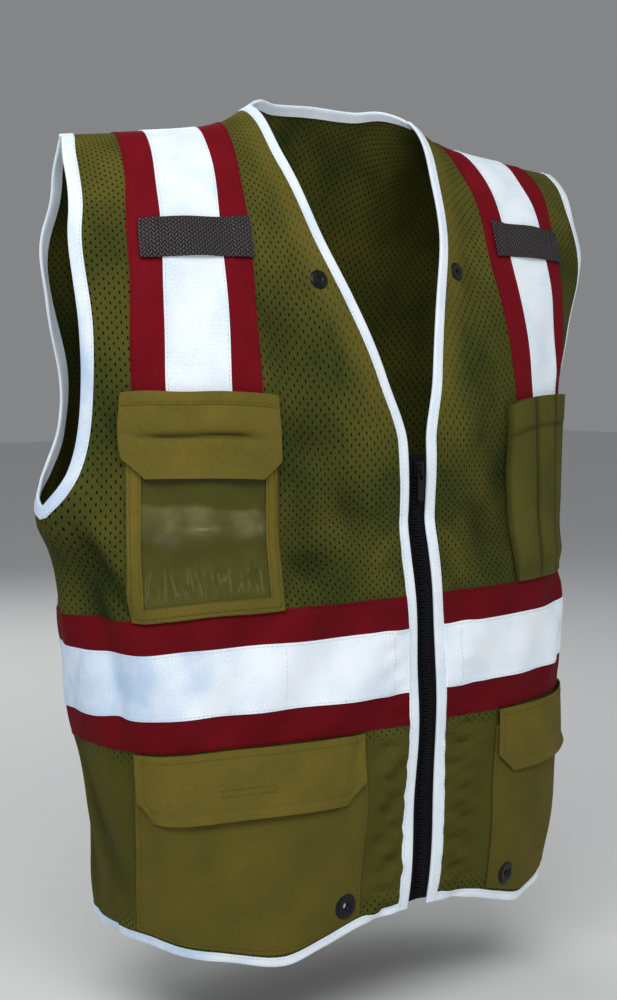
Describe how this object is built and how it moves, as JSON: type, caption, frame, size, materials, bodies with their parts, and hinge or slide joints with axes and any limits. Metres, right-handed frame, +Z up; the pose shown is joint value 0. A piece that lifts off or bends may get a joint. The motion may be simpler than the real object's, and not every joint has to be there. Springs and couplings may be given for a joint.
{
  "type": "surveyor safety vest",
  "caption": "Sleeveless mesh work vest in its worn form, with a front zip, reflective tape on red trim over the shoulders and waist, bound edges and flap pockets.",
  "frame": {"origin": "midway between the shoulders, at the height where the shoulder seams meet the neck", "axes": "+Z up, -Y the way the vest faces, -X the wearer's right"},
  "size_m": [0.5523, 0.2599, 0.6717],
  "materials": {
    "mesh_cloth": "olive open mesh knit",
    "pocket_cloth": "olive close weave",
    "red_trim": "deep red knit trim",
    "reflective_tape": "silver-white glass-bead tape",
    "binding": "reflective ribbed edge tape",
    "webbing": "dark grey woven webbing",
    "vinyl": "clear soft sheet",
    "zip_tape": "black zip tape and coil",
    "zip_metal": "black enamel",
    "grommet": "black enamel"
  },
  "bodies": {
    "vest": {"back_panel": "mesh_cloth", "neck_binding": "binding", "hem_binding_back": "binding", "waist_band_back": "red_trim", "waist_tape_back": "reflective_tape", "neck_grommet_right": "grommet", "hem_grommet_right": "grommet", "front_panel_right": "mesh_cloth", "shoulder_stripe_right": "red_trim", "shoulder_tape_right": "reflective_tape", "waist_band_right": "red_trim", "waist_tape_right": "reflective_tape", "front_binding_right": "binding", "hem_binding_right": "binding", "armhole_binding_right": "binding", "mic_tab_right": "webbing", "lower_pocket_right": "pocket_cloth", "lower_flap_right": "pocket_cloth", "zip_tape_right": "zip_tape", "neck_grommet_left": "grommet", "hem_grommet_left": "grommet", "front_panel_left": "mesh_cloth", "shoulder_stripe_left": "red_trim", "shoulder_tape_left": "reflective_tape", "waist_band_left": "red_trim", "waist_tape_left": "reflective_tape", "front_binding_left": "binding", "hem_binding_left": "binding", "armhole_binding_left": "binding", "mic_tab_left": "webbing", "lower_pocket_left": "pocket_cloth", "lower_flap_left": "pocket_cloth", "zip_tape_left": "zip_tape", "id_pocket_backing": "pocket_cloth", "id_pocket_window": "vinyl", "id_pocket_frame": "pocket_cloth", "id_pocket_flap": "pocket_cloth", "pen_pocket_backing": "pocket_cloth", "pen_pocket_front": "pocket_cloth", "zip_chain": "zip_tape", "zip_slider": "zip_metal"},
    "pull": {"zip_pull": "zip_metal"}
  },
  "joints": [
    {"name": "zip_pull_swing", "type": "hinge", "parent": "vest", "child": "pull", "pos_m": [0.00166, -0.11539, -0.28377], "axis": [-1, 0, 0], "range_deg": [0, 150]}
  ]
}
